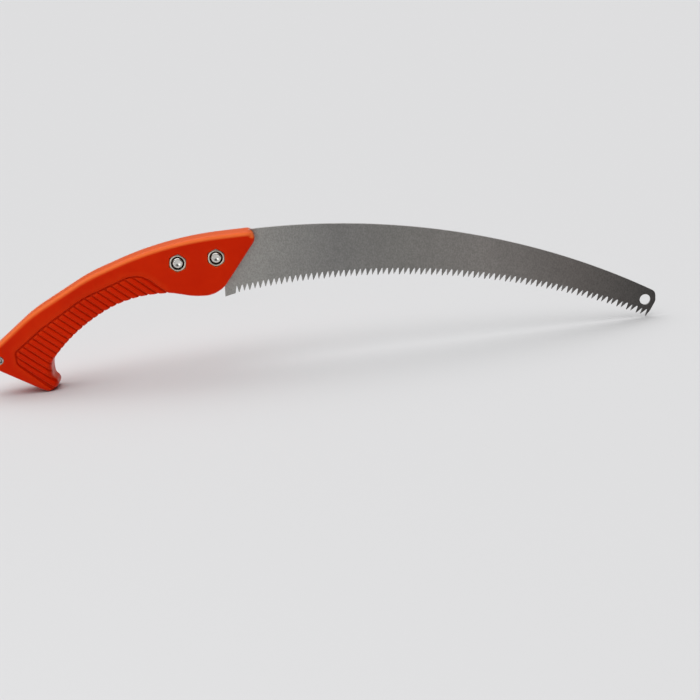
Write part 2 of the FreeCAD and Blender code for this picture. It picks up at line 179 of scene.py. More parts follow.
TANG_SHOULDER = ((157.0, 97.4), (164.2, 102.75))
BLADE_END = ((463.3, 18.8, 5.0), (463.2, 11.6, 4.0), (458.6, 4.2, 5.0))
HANG_HOLE = (455.2, 13.4)
HANG_HOLE_RADIUS = 4.0

STEEL_REFLECTION_TONES = (             # colours along the blade, from the handle to the tip, darkening towards it: painted reflection
    (0.0, (0.370, 0.363, 0.342)),
    (0.2, (0.262, 0.257, 0.248)),
    (0.36, (0.270, 0.262, 0.247)),
    (0.56, (0.290, 0.272, 0.256)),
    (0.8, (0.185, 0.169, 0.158)),
    (1.0, (0.083, 0.079, 0.076)),
)
STEEL_GRAIN = ((0.30, (0.80, 0.80, 0.80)), (0.70, (1.18, 1.18, 1.18)))
STEEL_CLOUDS = ((0.30, (0.93, 0.93, 0.93)), (0.70, (1.06, 1.06, 1.06)))
GROUND_STEEL = (0.42, 0.41, 0.40, 1)            # on the teeth's bevels


# ---------------------------------------------------------------- small geometry helpers

def unit(v):
    """The vector at length 1."""
    return v / np.linalg.norm(v)


def rounded(corners, closed=True, step=0.05):
    """Dense points along clockwise corners with their radii, and the normals that point inwards."""
    points = np.array([c[:2] for c in corners], float)
    count = len(points)
    line = []
    for i in range(count):
        corner = points[i]
        if not closed and i in (0, count - 1):
            line.append(corner[None])
            continue
        before = unit(corner - points[i - 1])
        after = unit(points[(i + 1) % count] - corner)
        half = math.acos(np.clip(before @ after, -1, 1)) / 2
        radius = corners[i][2]
        reach = radius * math.tan(half)
        centre = corner + unit(after - before) * radius / math.cos(half) if radius else corner
        start = corner - before * reach
        end = corner + after * reach
        a0 = math.atan2(*(start - centre)[::-1])
        turn = math.atan2(*(end - centre)[::-1]) - a0
        turn = (turn + math.pi) % (2 * math.pi) - math.pi
        pieces = max(1, int(abs(turn) * radius / step)) if radius else 0
        angles = a0 + turn * np.linspace(0, 1, pieces + 1)
        line.append(centre + radius * np.column_stack((np.cos(angles), np.sin(angles))))
    line = np.vstack(line)
    if closed:
        line = np.vstack((line, line[:1]))
    lengths = np.r_[0, np.cumsum(np.linalg.norm(np.diff(line, axis=0), axis=1))]
    keep = np.r_[True, np.diff(lengths) > 1e-9]
    lengths, line = lengths[keep], line[keep]
    at = np.arange(0, lengths[-1], step)
    dense = np.column_stack([np.interp(at, lengths, line[:, k]) for k in (0, 1)])
    if not closed:
        dense = np.vstack((dense, line[-1:]))
        ahead = np.gradient(dense, axis=0)
    else:
        ahead = np.roll(dense, -1, axis=0) - np.roll(dense, 1, axis=0)
    ahead /= np.linalg.norm(ahead, axis=1)[:, None]
    return dense, np.column_stack((ahead[:, 1], -ahead[:, 0]))


def thin_out(spacing, dense, *others):
    """Picks from a dense closed line, and from arrays that go with it, so that gaps follow spacing."""
    gaps = np.linalg.norm(np.roll(dense, -1, axis=0) - dense, axis=1)
    load = np.r_[0, np.cumsum(gaps / spacing)]
    count = int(load[-1])
    picks = np.searchsorted(load, np.arange(count) * load[-1] / count)
    picks = np.unique(np.clip(picks, 0, len(dense) - 1))
    return [dense[picks]] + [other[picks] for other in others]


class Outline:
    """A closed clockwise line with its inward normals and a search tree over its points."""

    def __init__(self, points, normals):
        self.points = points
        self.normals = normals
        self.tree = KDTree(len(points))
        for i, (x, z) in enumerate(points.tolist()):
            self.tree.insert((x, z, 0), i)
        self.tree.balance()

    def distance(self, at):
        """Distance of each point from the line, positive inside."""
        near = np.array([self.tree.find((x, z, 0))[1] for x, z in np.asarray(at).tolist()])
        off = np.asarray(at) - self.points[near]
        lift = (off * self.normals[near]).sum(1)
        far = np.linalg.norm(off, axis=1)
        return np.where(far < 0.3, lift, np.sign(lift) * far)


def loop_outline(loop):
    """Outline of a clockwise loop of points."""
    ahead = np.roll(loop, -1, axis=0) - np.roll(loop, 1, axis=0)
    ahead /= np.linalg.norm(ahead, axis=1)[:, None]
    return Outline(np.asarray(loop), np.column_stack((ahead[:, 1], -ahead[:, 0])))


def corner_limit(corners, dense):
    """The most that each point of a dense outline may be inset, kept below nearby convex corners' radii."""
    points = np.array([c[:2] for c in corners], float)
    limit = np.full(len(dense), np.inf)
    for i, (_, _, radius) in enumerate(corners):
        before = unit(points[i] - points[i - 1])
        after = unit(points[(i + 1) % len(points)] - points[i])
        if radius and before[0] * after[1] - before[1] * after[0] < 0:
            away = np.linalg.norm(dense - points[i], axis=1)
            half = math.acos(np.clip(before @ after, -1, 1)) / 2
            past = np.clip(away - radius * math.tan(half), 0, None)
            limit = np.minimum(limit, 0.86 * radius + 0.5 * past)
    return limit


def smooth(x, low, high):
    """0 below low, 1 above high, with an S curve between."""
    t = np.clip((x - low) / (high - low), 0, 1)
    return t * t * (3 - 2 * t)


def polar_loop(centre, radius_at, count=TURN_STEPS):
    """Clockwise loop about a centre whose radius is a function of the direction."""
    angles = -np.linspace(0, 2 * math.pi, count, endpoint=False)
    radii = np.array([radius_at(a) for a in angles])
    return np.array(centre) + radii[:, None] * np.column_stack((np.cos(angles), np.sin(angles)))


def circle(centre, radius, count=TURN_STEPS):
    """Clockwise circle of points."""
    return polar_loop(centre, lambda a: radius, count)


def hex_radius(across, turn, soft):
    """Radius of a hexagon with one corner at turn degrees, its corners cut back by soft."""
    def at(angle):
        off = (angle - math.radians(turn + 30) + math.pi / 6) % (math.pi / 3) - math.pi / 6
        return min(across / 2 / math.cos(off), across / math.sqrt(3) - soft)
    return at


def cross_radius(length, width):
    """Radius of a cross recess with straight arms."""
    def at(angle):
        off = abs((angle + math.pi / 4) % (math.pi / 2) - math.pi / 4)
        return min(length / 2 / math.cos(off), width / 2 / max(math.sin(off), 1e-6))
    return at


def fill(loops, extra=()):
    """Triangles inside the first loop and outside the others, with extra points. Loops run clockwise."""
    points = [Vector(p) for loop in loops for p in loop] + [Vector(p) for p in extra]
    edges = []
    sides = []
    for k, loop in enumerate(loops):
        start = sum(len(one) for one in loops[:k])
        ring = [(start + i, start + (i + 1) % len(loop)) for i in range(len(loop))]
        edges += ring
        sides += [(b, a) if k == 0 else (a, b) for a, b in ring]
    out = delaunay_2d_cdt(points, edges, [], 0, 1e-7)
    origin = [o[0] if o else None for o in out[3]]
    if None in origin:
        crossing = [tuple(out[0][i]) for i, o in enumerate(origin) if o is None]
        raise ValueError("loops cross at %s" % crossing[:6])
    faces = [tuple(origin[v] for v in face) for face in out[2]]
    owner = {}
    for n, face in enumerate(faces):
        for i in range(3):
            owner[face[i], face[(i + 1) % 3]] = n
    fence = set(edges) | {(b, a) for a, b in edges}
    keep = {owner[side] for side in sides if side in owner}
    todo = list(keep)
    while todo:
        face = faces[todo.pop()]
        for i in range(3):
            a, b = face[i], face[(i + 1) % 3]
            near = owner.get((b, a))
            if near is not None and near not in keep and (a, b) not in fence:
                keep.add(near)
                todo.append(near)
    return [faces[n] for n in sorted(keep)]


class Builder:
    """Collects points (x, y, z in outline millimetres) and faces, then makes one mesh object of them."""

    def __init__(self):
        self.points = []
        self.faces = []

    def add(self, xz, y):
        """Adds a row of points and returns their numbers."""
        first = len(self.points)
        ys = np.broadcast_to(y, (len(xz),))
        self.points += [(p[0], v, p[1]) for p, v in zip(xz, ys)]
        return list(range(first, first + len(xz)))

    def strip(self, one, two, closed=True):
        """Quads between two rows of equal length."""
        n = len(one)
        for i in range(n if closed else n - 1):
            j = (i + 1) % n
            self.faces.append((one[i], one[j], two[j], two[i]))

    def patch(self, rows, extra=()):
        """Triangles in the XZ plane inside the first row and outside the others, with extra points."""
        numbers = [i for row in rows for i in row] + list(extra)
        at = [(self.points[i][0], self.points[i][2]) for i in numbers]
        loops = []
        first = 0
        for row in rows:
            loops.append(at[first:first + len(row)])
            first += len(row)
        for face in fill(loops, at[first:]):
            self.faces.append(tuple(numbers[i] for i in face))

    def finish(self, name, sharp=35.0):
        """The mesh object, in the frame, with clean normals. A point named twice in a face counts once."""
        mesh = bpy.data.meshes.new(name)
        places = np.array(self.points) + np.array((SHIFT_X, 0, SHIFT_Z))
        faces = [tuple(dict.fromkeys(face)) for face in self.faces]
        mesh.from_pydata((places * MM).tolist(), [], [face for face in faces if len(face) > 2])
        work = bmesh.new()
        work.from_mesh(mesh)
        bmesh.ops.remove_doubles(work, verts=work.verts, dist=2e-7)
        bmesh.ops.recalc_face_normals(work, faces=work.faces)
        loose = [e for e in work.edges if len(e.link_faces) != 2]
        if loose:
            print(name, "open edges", len(loose))
        work.to_mesh(mesh)
        work.free()
        mesh.shade_smooth()
        mesh.set_sharp_from_angle(angle=math.radians(sharp))
        piece = bpy.data.objects.new(name, mesh)
        bpy.context.scene.collection.objects.link(piece)
        return piece


# ---------------------------------------------------------------- handle

def groove_depth(points):
    """How far the grip panel's grooves go in at each point of the handle's plane."""
    border = PANEL.distance(points) - GROOVE_HALF
    across = np.array((-math.sin(GROOVE_SLOPE), math.cos(GROOVE_SLOPE)))
    turns = ((points - np.array(GROOVE_ORIGIN)) @ across) / GROOVE_PITCH
    groove = np.abs((turns + 0.5) % 1 - 0.5) * GROOVE_PITCH
    edge = np.abs(border)
    mix = np.clip(0.5 + (groove - edge) / (2 * CORNER_SOFT), 0, 1)
    joined = groove * (1 - mix) + edge * mix - CORNER_SOFT * mix * (1 - mix)
    gap = np.where(border > 0, joined, edge)
    gap = np.maximum(gap, 0)
    deep = 1 - smooth(gap, GROOVE_FLOOR, GROOVE_HALF)
    crown = 1 - smooth(gap, GROOVE_HALF * 0.6, GROOVE_PITCH / 2)
    crown = np.where(border > 0, crown, 0)
    return (GROOVE_DEPTH - RIB_CROWN) * deep + RIB_CROWN * crown


def near_neck(points):
    """1 inside the hook's hollow, 0 away from it."""
    return 1 - smooth(np.linalg.norm(points - np.array(NECK_AT), axis=1), *NECK_REACH)


def edge_sizes(line, inward):
    """Edge rounding (inward, across) and crown for each point of the handle's outline."""
    top = smooth(-inward[:, 1], -0.1, 0.55)
    neck = near_neck(line)
    sizes = []
    for above, under, hollow in zip(EDGE_TOP, EDGE_UNDER, EDGE_NECK):
        sizes.append((above * top + under * (1 - top)) * (1 - neck) + hollow * neck)
    return *sizes, TOP_CROWN * top * (1 - neck)


def handle_rows():
    """Rows of the handle's skin from the seam to the flat side, as places in its plane and y values."""
    dense, normals = rounded(HANDLE_OUTLINE)
    near = PANEL.distance(dense) > -3
    line, inward, limit = thin_out(np.where(near, FINE_STEP, COARSE_STEP), dense, normals,
                                   corner_limit(HANDLE_OUTLINE, dense))
    deep_in, deep_over, crown = edge_sizes(line, inward)
    flange = np.linalg.norm(line - np.array(EYELET_AT), axis=1) - EYELET_FLANGE - POCKET_GAP - 2 * LIP
    fit = np.minimum(1, np.minimum(limit, flange) / (deep_in + crown))
    deep_in, crown = deep_in * fit, crown * fit
    flat_wall = HALF_WIDTH - deep_over
    level_row = np.zeros(len(line))
    seam_bevel = ((SEAM, 0.0), (SEAM * 0.3, SEAM * 0.3), (0.0, SEAM), (0.0, SEAM + 0.7))
    plan = [(level_row + inset, level_row + y, 0.0) for inset, y in seam_bevel]
    for share in (0.3, 0.5, 0.7, 0.85):
        plan.append((level_row, flat_wall * share, 0.0))
    for angle in np.radians(np.linspace(0, 90, 15)):
        plan.append((deep_in * (1 - math.cos(angle)), flat_wall + deep_over * math.sin(angle), angle))
    rows = []
    wall = GROOVE_WRAP * (1 - near_neck(line))
    for inset, y, angle in plan:
        base = line + inward * (inset + crown * (y / HALF_WIDTH) ** 2)[:, None]
        cut = groove_depth(base)
        rows.append((base + inward * (cut * wall * math.cos(angle))[:, None], y - cut * math.sin(angle)))
    return rows


def side_points(rim):
    """Points of the flat side inside rim, and how deep each lies in a groove: rows along the grooves and
    along the panel's border, and a loose net elsewhere."""
    along = np.array((math.cos(GROOVE_SLOPE), math.sin(GROOVE_SLOPE)))
    across = np.array((-math.sin(GROOVE_SLOPE), math.cos(GROOVE_SLOPE)))
    rows = np.arange(0, GROOVE_COUNT * GROOVE_ROWS) * GROOVE_PITCH / GROOVE_ROWS
    steps = np.arange(-80, 160, 0.6)
    grid = np.array(GROOVE_ORIGIN) + rows[:, None, None] * across + steps[None, :, None] * along
    grid = grid.reshape(-1, 2)
    low, high = PANEL.points.min(0), PANEL.points.max(0)
    grid = grid[((grid > low) & (grid < high)).all(1)]
    grid = grid[rim.distance(grid) > RIM_GAP]
    sets = [grid[PANEL.distance(grid) > 2 * GROOVE_HALF + 0.3]]
    for inset in (-0.15, 0.15, 0.4, 0.6, 0.75, 0.9, 1.1, 1.35, 1.65):
        sets.append((PANEL.points + PANEL.normals * inset)[::7])
    net = np.stack(np.meshgrid(np.arange(-50, 180, 3.0), np.arange(-5, 105, 3.0)), -1).reshape(-1, 2)
    sets.append(net[PANEL.distance(net) < -1.0])
    points = np.vstack(sets)
    points = points[rim.distance(points) > RIM_GAP]
    return points, groove_depth(points)


def mark_grooves(piece):
    """Stores how deep each vertex lies in the grip's grooves: 0 on the skin, 1 on a groove's floor."""
    places = np.array([vertex.co for vertex in piece.data.vertices]) / MM
    depth = groove_depth(places[:, ::2] - np.array((SHIFT_X, SHIFT_Z))) / GROOVE_DEPTH
    piece.data.attributes.new("groove", "FLOAT", "POINT").data.foreach_set("value", depth)


def shell_piece(name, side, rows, inner, pockets):
    """One half of the handle: skin rows, points of the flat side with their depths, and its pockets."""
    build = Builder()
    numbers = [build.add(place, side * y) for place, y in rows]
    for one, two in zip(numbers, numbers[1:]):
        build.strip(one, two)
    points, cut = inner
    face_rows = [numbers[-1]]
    cap_rows = [numbers[0]]
    for mouth, floor, hole in pockets:
        face_row, cap_row = pocket(build, side, mouth, floor, hole)
        face_rows.append(face_row)
        cap_rows.append(cap_row)
        close = np.linalg.norm(points - mouth.mean(0), axis=1) < 12
        clear = ~close
        if close.any():
            clear[close] = loop_outline(grown(mouth, LIP)).distance(points[close]) < -0.2
        points = points[clear]
        cut = cut[clear]
    extra = build.add(points, side * (HALF_WIDTH - cut))
    build.patch(face_rows, extra)
    build.patch(cap_rows)
    piece = build.finish(name)
    mark_grooves(piece)
    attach(piece, "root")
    return piece


def grown(loop, by):
    """A loop about its own middle, larger all round."""
    middle = loop.mean(0)
    off = loop - middle
    reach = np.linalg.norm(off, axis=1)[:, None]
    return middle + off * (reach + by) / reach


def pocket(build, side, mouth, floor, hole):
    """Pocket in a shell with a rounded lip, down to floor, and a round hole from there to the seam.
    Returns its rows on the flat side and at the seam."""
    first = None
    last = None
    for out, drop in ((LIP, 0.0), (LIP * 0.4, LIP * 0.12), (LIP * 0.1, LIP * 0.45), (0.0, LIP)):
        loop = grown(mouth, out)
        row = build.add(loop, side * (HALF_WIDTH - drop - groove_depth(loop)))
        if last is not None:
            build.strip(last, row)
        else:
            first = row
        last = row
    ring = circle(mouth.mean(0), hole, len(mouth))
    for loop, y in ((mouth, floor + 0.25), (grown(mouth, -0.2), floor), (ring, floor), (ring, 0.0)):
        row = build.add(loop, side * y)
        build.strip(last, row)
        last = row
    return first, last


# ---------------------------------------------------------------- turned pieces

def turned(name, centre, profile, shapes=None, count=TURN_STEPS):
    """Piece made of rows about an axis along Y. profile gives (radius, y) from one end to the other;
    shapes may give some rows a radius function instead of a circle. The ends are closed with discs
    where the radius is zero."""
    build = Builder()
    last = None
    for k, (radius, y) in enumerate(profile):
        if radius == 0:
            row = build.add([centre], y) * count
        elif shapes and k in shapes:
            row = build.add(polar_loop(centre, shapes[k], count), y)
        else:
            row = build.add(circle(centre, radius, count), y)
        if last is not None:
            build.strip(last, row)
        last = row
    piece = build.finish(name)
    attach(piece, "root")
    return piece


def middle_of(node):
    """Centre of a CAD node in outline millimetres, and its Y span."""
    low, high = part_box(node)
    x = (low.x + high.x) / 2 / MM - SHIFT_X
    z = (low.z + high.z) / 2 / MM - SHIFT_Z
    return (x, z), low.y / MM, high.y / MM


def nut_piece(which):
    """Hex nut with chamfered corners and a deep countersink, closed on itself through its bore."""
    node = which + "_blade_nut"
    centre, low, high = middle_of(node)
    flat = NUT_ACROSS / 2 - 0.15
    inside = ((BOLT_RADIUS, high), (BOLT_RADIUS, low + 2.2), (BOLT_RADIUS + 0.72, low + 1.45),
              (BOLT_RADIUS + 0.84, low + 0.28), (BOLT_RADIUS + 0.93, low + 0.08),
              (BOLT_RADIUS + 1.08, low), (flat - 0.45, low), (flat - 0.1, low + 0.03))
    build = Builder()
    rows = [build.add(circle(centre, radius, FINE_TURN), y) for radius, y in inside]
    plan = polar_loop(centre, hex_radius(NUT_ACROSS, NUT_TURN[which], NUT_CORNER), FINE_TURN)
    reach = np.linalg.norm(plan - np.array(centre), axis=1)
    fall = np.clip(reach - flat, 0, None) * NUT_CHAMFER
    rows.append(build.add(grown(plan, -0.05), low + fall + 0.05))
    rows.append(build.add(plan, low + fall + 0.14))
    rows.append(build.add(plan, high - fall - 0.1))
    rows.append(build.add(circle(centre, flat - 0.1, FINE_TURN), high))
    for one, two in zip(rows, rows[1:] + rows[:1]):
        build.strip(one, two)
    piece = build.finish(node + "_body")
    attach(piece, "root")
    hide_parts(node)
    return piece


def bolt_piece(which):
    """Bolt: chamfered and dimpled threaded end, shank, low round head with a hex socket."""
    node = which + "_blade_bolt"
    centre, low, high = middle_of(node)
    seat = high - HEAD_HEIGHT
    profile = [(0, low + 0.42), (0.5, low + 0.40), (1.3, low + 0.22), (1.9, low + 0.06), (2.4, low),
               (2.95, low), (3.2, low + 0.06), (3.45, low + 0.3), (3.72, low + 0.62), (3.98, low + 1.0)]
    y = low + 1.0
    for _ in range(THREAD_TURNS):
        profile += [(4.0, y + 0.12), (3.98, y + 0.24), (3.45, y + 0.62), (3.45, y + 0.72), (3.98, y + 1.10)]
        y += THREAD_PITCH
    profile += [(4.0, y + 0.2), (4.0, seat), (6.1, seat), (6.4, seat + 0.2), (6.5, seat + 0.5),
                (6.5, high - 1.5), (6.42, high - 0.95), (6.15, high - 0.42), (5.7, high - 0.1),
                (5.2, high), (3.35, high), (3.1, high - 0.12)]
    first = len(profile)
    profile += [(3.0, high - 0.3), (3.0, high - 2.4), (2.9, high - 2.5), (0, high - 3.0)]
    socket = hex_radius(SOCKET_ACROSS, 0.0, 0.05)
    shapes = {first: socket, first + 1: socket, first + 2: hex_radius(SOCKET_ACROSS - 0.2, 0.0, 0.05)}
    piece = turned(node + "_body", centre, profile, shapes, FINE_TURN)
    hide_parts(node)
    return piece


def washer_piece(which):
    """Flat washer with rounded rims."""
    node = which + "_washer"
    centre, low, high = middle_of(node)
    rim = WASHER_RADIUS
    bore = BOLT_HOLE
    profile = [(bore + 0.15, low), (rim - 0.2, low), (rim, low + 0.25), (rim, high - 0.35),
               (rim - 0.12, high - 0.1), (rim - 0.4, high), (bore + 0.15, high), (bore, high - 0.15),
               (bore, low + 0.15), (bore + 0.15, low)]
    piece = turned(node + "_body", centre, profile)
    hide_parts(node)
    return piece


def screw_piece(which):
    """Self-tapping screw: pointed shank with a coarse thread, domed head, cross recess."""
    node = which + "_grip_screw"
    centre, low, high = middle_of(node)
    seat = high - SCREW_HEAD
    profile = [(0, low), (0.35, low + 0.15), (1.5, low + 1.5)]
    y = low + 1.6
    while y < seat - 1.4:
        profile += [(1.5, y), (1.98, y + 0.35), (2.0, y + 0.42), (1.5, y + 0.8)]
        y += SCREW_THREAD
    profile += [(1.5, seat - 0.2), (1.7, seat), (3.4, seat), (3.65, seat + 0.15), (3.7, seat + 0.5),
                (3.62, high - 1.1), (3.35, high - 0.62), (2.9, high - 0.27), (2.4, high - 0.1)]
    first = len(profile)
    cross = cross_radius(4.0, 0.95)
    profile += [(2.2, high - 0.03), (2.0, high - 0.2), (1.9, high - 1.1), (0, high - 1.6)]
    shapes = {first: cross_radius(4.4, 1.25), first + 1: cross, first + 2: cross_radius(2.6, 0.7)}
    piece = turned(node + "_body", centre, profile, shapes, FINE_TURN)
    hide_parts(node)
    return piece


def eyelet_piece():
    """Tubular rivet whose ends are rolled over into round flanges."""
    node = "lanyard_eyelet"
    centre, low, high = middle_of(node)
    roll = [(EYELET_TUBE, 0.9), (EYELET_FLANGE - 0.15, 0.72), (EYELET_FLANGE, 0.5),
            (EYELET_FLANGE - 0.08, 0.25), (EYELET_FLANGE - 0.35, 0.05), (EYELET_FLANGE - 0.6, 0.0),
            (EYELET_BORE + 0.35, 0.06), (EYELET_BORE + 0.1, 0.25), (EYELET_BORE, 0.6)]
    profile = [(r, low + y) for r, y in roll] + [(r, high - y) for r, y in reversed(roll)]
    piece = turned(node + "_body", centre, profile + profile[:1])
    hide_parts(node)
    return piece


# ---------------------------------------------------------------- blade

def on_arc(centre, radius, angle):
    """Point of a circle, the angle measured from the top towards the blade's tip."""
    return centre + radius * np.array((math.sin(angle), math.cos(angle)))


def tooth_corners(index, outer):
    """Root, tip, tip, root of one tooth on its outer or inner face, and how far each is bent out."""
    angle = FIRST_TOOTH + index * TOOTH_PITCH / TOOTH_RADIUS
    tip = on_arc(TOOTH_CENTRE, TOOTH_RADIUS, angle)
    along = np.array((math.cos(angle), -math.sin(angle)))
    up = np.array((math.sin(angle), math.cos(angle)))
    left = -TOOTH_LEAD
    right = TOOTH_PITCH - TOOTH_LEAD - TOOTH_GAP
    if outer:
        plan = ((left, TOOTH_DEPTH), (0, 0), (TOOTH_TOP, 0), (right, TOOTH_DEPTH))
    else:
        plan = ((left + TOOTH_BEVEL, TOOTH_DEPTH), (TOOTH_TOP / 2, TIP_BEVEL),
                (TOOTH_TOP, TIP_BEVEL), (right - TOOTH_BEVEL, TOOTH_DEPTH))
    points = [tip + along * u + up * w for u, w in plan]
    bends = [TOOTH_SET * (1 - w / TOOTH_DEPTH) for _, w in plan]
    return points, bends


def blade_outline():
    """The blade's edge without its teeth, in stretches that run clockwise seen from -Y: heel, tang,
    shoulder, back and end, and the last tooth's tip."""
    last = FIRST_TOOTH + (TOOTH_COUNT - 1) * TOOTH_PITCH / TOOTH_RADIUS
    tip = on_arc(TOOTH_CENTRE, TOOTH_RADIUS, last)
    shoulder = math.asin((TANG_SHOULDER[1][0] - BACK_CENTRE[0]) / BACK_RADIUS)
    far = math.asin((BACK_END - BACK_CENTRE[0]) / BACK_RADIUS)
    back = [on_arc(BACK_CENTRE, BACK_RADIUS, a) for a in np.linspace(shoulder, far, 160)]
    tang_angles = np.radians(np.linspace(-90, -270, 25))
    tang = [np.array(TANG_CENTRE) + TANG_RADIUS * np.array((math.cos(a), math.sin(a))) for a in tang_angles]
    end, _ = rounded([(*back[-1], 0)] + list(BLADE_END) + [(tip[0] + TOOTH_TOP, tip[1], 0)], False, 0.4)
    return [np.array(p) for p in HEEL], tang, [np.array(TANG_SHOULDER[0])], back, list(end[1:]), tip


def blade_piece():
    """Steel strip with set, bevelled teeth, a chamfered back, its tang and its holes."""
    heel, tang, shoulder, back, end, last_tip = blade_outline()
    build = Builder()
    plain = heel + tang + shoulder + back + end + [last_tip]
    ahead = np.gradient(np.array(plain), axis=0)
    ahead /= np.linalg.norm(ahead, axis=1)[:, None]
    inward = np.column_stack((ahead[:, 1], -ahead[:, 0]))
    chamfer = np.full(len(plain), BLADE_CHAMFER)
    chamfer[[0, -1]] = 0
    last = FIRST_TOOTH + (TOOTH_COUNT - 1) * TOOTH_PITCH / TOOTH_RADIUS
    along = np.array((math.cos(last), -math.sin(last)))
    up = np.array((math.sin(last), math.cos(last)))
    last_root = last_tip - along * TOOTH_LEAD + up * TOOTH_DEPTH
    first_root = on_arc(TOOTH_CENTRE, TOOTH_RADIUS + TOOTH_DEPTH, FIRST_TOOTH - 2 * TOOTH_LEAD / TOOTH_RADIUS)
    holes = []
    for node in ("rear_blade_bolt", "front_blade_bolt"):
        holes.append((middle_of(node)[0], BOLT_HOLE, 36))
    holes.append((HANG_HOLE, HANG_HOLE_RADIUS, 64))
    edge_rows = {}
    for side in (-1, 1):
        inner = build.add(np.array(plain) + inward * chamfer[:, None], side * BLADE_HALF)
        rim = build.add(np.array(plain), side * (BLADE_HALF - chamfer))
        build.strip(inner, rim, False)
        root_line = build.add([last_root], side * BLADE_HALF)
        outline = [root_line[0]]
        for index in range(TOOTH_COUNT - 2, -1, -1):
            lean = 1 if index % 2 else -1
            points, bends = tooth_corners(index, lean == side)
            ys = [side * BLADE_HALF + lean * b for b in bends]
            numbers = build.add(points, ys)
            build.faces.append(tuple(numbers))
            root_line += [numbers[3], numbers[0]]
            outline += numbers[::-1]
        start = build.add([first_root], side * BLADE_HALF)
        root_line += start
        outline += start
        loops = [inner + root_line]
        hole_rows = []
        for centre, radius, count in holes:
            wide = build.add(circle(centre, radius + BLADE_CHAMFER, count), side * BLADE_HALF)
            tight = build.add(circle(centre, radius, count), side * (BLADE_HALF - BLADE_CHAMFER))
            build.strip(wide, tight)
            loops.append(wide)
            hole_rows.append(tight)
        build.patch(loops)
        edge_rows[side] = (rim + outline, hole_rows)
    build.strip(edge_rows[-1][0], edge_rows[1][0])
    for one, two in zip(edge_rows[-1][1], edge_rows[1][1]):
        build.strip(one, two)
    piece = build.finish("blade_body", 20.0)
    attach(piece, "root")
    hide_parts("blade")
    return piece


# ---------------------------------------------------------------- materials

def new_material(name):
    """A material with its nodes, its links and its surface shader."""
    material = bpy.data.materials.new(name)
    material.use_nodes = True
    nodes = material.node_tree.nodes
    return material, nodes, material.node_tree.links, nodes["Principled BSDF"]


def noise(nodes, links, source, scale, detail, rough=0.55):
    """Noise from 0 to 1."""
    texture = nodes.new("ShaderNodeTexNoise")
    texture.inputs["Scale"].default_value = scale
    texture.inputs["Detail"].default_value = detail
    texture.inputs["Roughness"].default_value = rough
    links.new(source, texture.inputs["Vector"])
    return texture.outputs["Fac"]


def ramp(nodes, links, source, stops):
    """Colour ramp with (position, colour) stops."""
    node = nodes.new("ShaderNodeValToRGB")
    while len(node.color_ramp.elements) > 1:
        node.color_ramp.elements.remove(node.color_ramp.elements[-1])
    node.color_ramp.elements[0].position = stops[0][0]
    node.color_ramp.elements[0].color = (*stops[0][1], 1)
    for position, colour in stops[1:]:
        node.color_ramp.elements.new(position).color = (*colour, 1)
    links.new(source, node.inputs["Fac"])
    return node.outputs["Color"]


def level(nodes, links, source, start, full, low=0.0, high=1.0, curve="LINEAR"):
    """The source's start to full as low to high, and no further."""
    node = nodes.new("ShaderNodeMapRange")
    node.interpolation_type = curve
    for socket, value in (("From Min", start), ("From Max", full), ("To Min", low), ("To Max", high)):
        node.inputs[socket].default_value = value
    links.new(source, node.inputs["Value"])
    return node.outputs["Result"]


def axes(nodes, links, source):
    """The X, Y and Z of a vector."""
    node = nodes.new("ShaderNodeSeparateXYZ")
    links.new(source, node.inputs["Vector"])
    return node.outputs


def bump(nodes, links, height, shader, distance, strength):
    """Gives the shader a fine relief."""
    node = nodes.new("ShaderNodeBump")
    node.inputs["Distance"].default_value = distance
    node.inputs["Strength"].default_value = strength
    links.new(height, node.inputs["Height"])
    links.new(node.outputs["Normal"], shader.inputs["Normal"])


def place(nodes):
    """Position on the piece, in metres."""
    return nodes.new("ShaderNodeTexCoord").outputs["Object"]


def blend(nodes, links, one, two, factor=1.0, how="MIX"):
    """Mixes colours; two may be a plain colour and factor a plain number."""
    mix = nodes.new("ShaderNodeMixRGB")
    mix.blend_type = how
    for source, socket in ((one, "Color1"), (two, "Color2"), (factor, "Fac")):
        if isinstance(source, bpy.types.NodeSocket):
            links.new(source, mix.inputs[socket])
        else:
            mix.inputs[socket].default_value = source
    return mix.outputs["Color"]


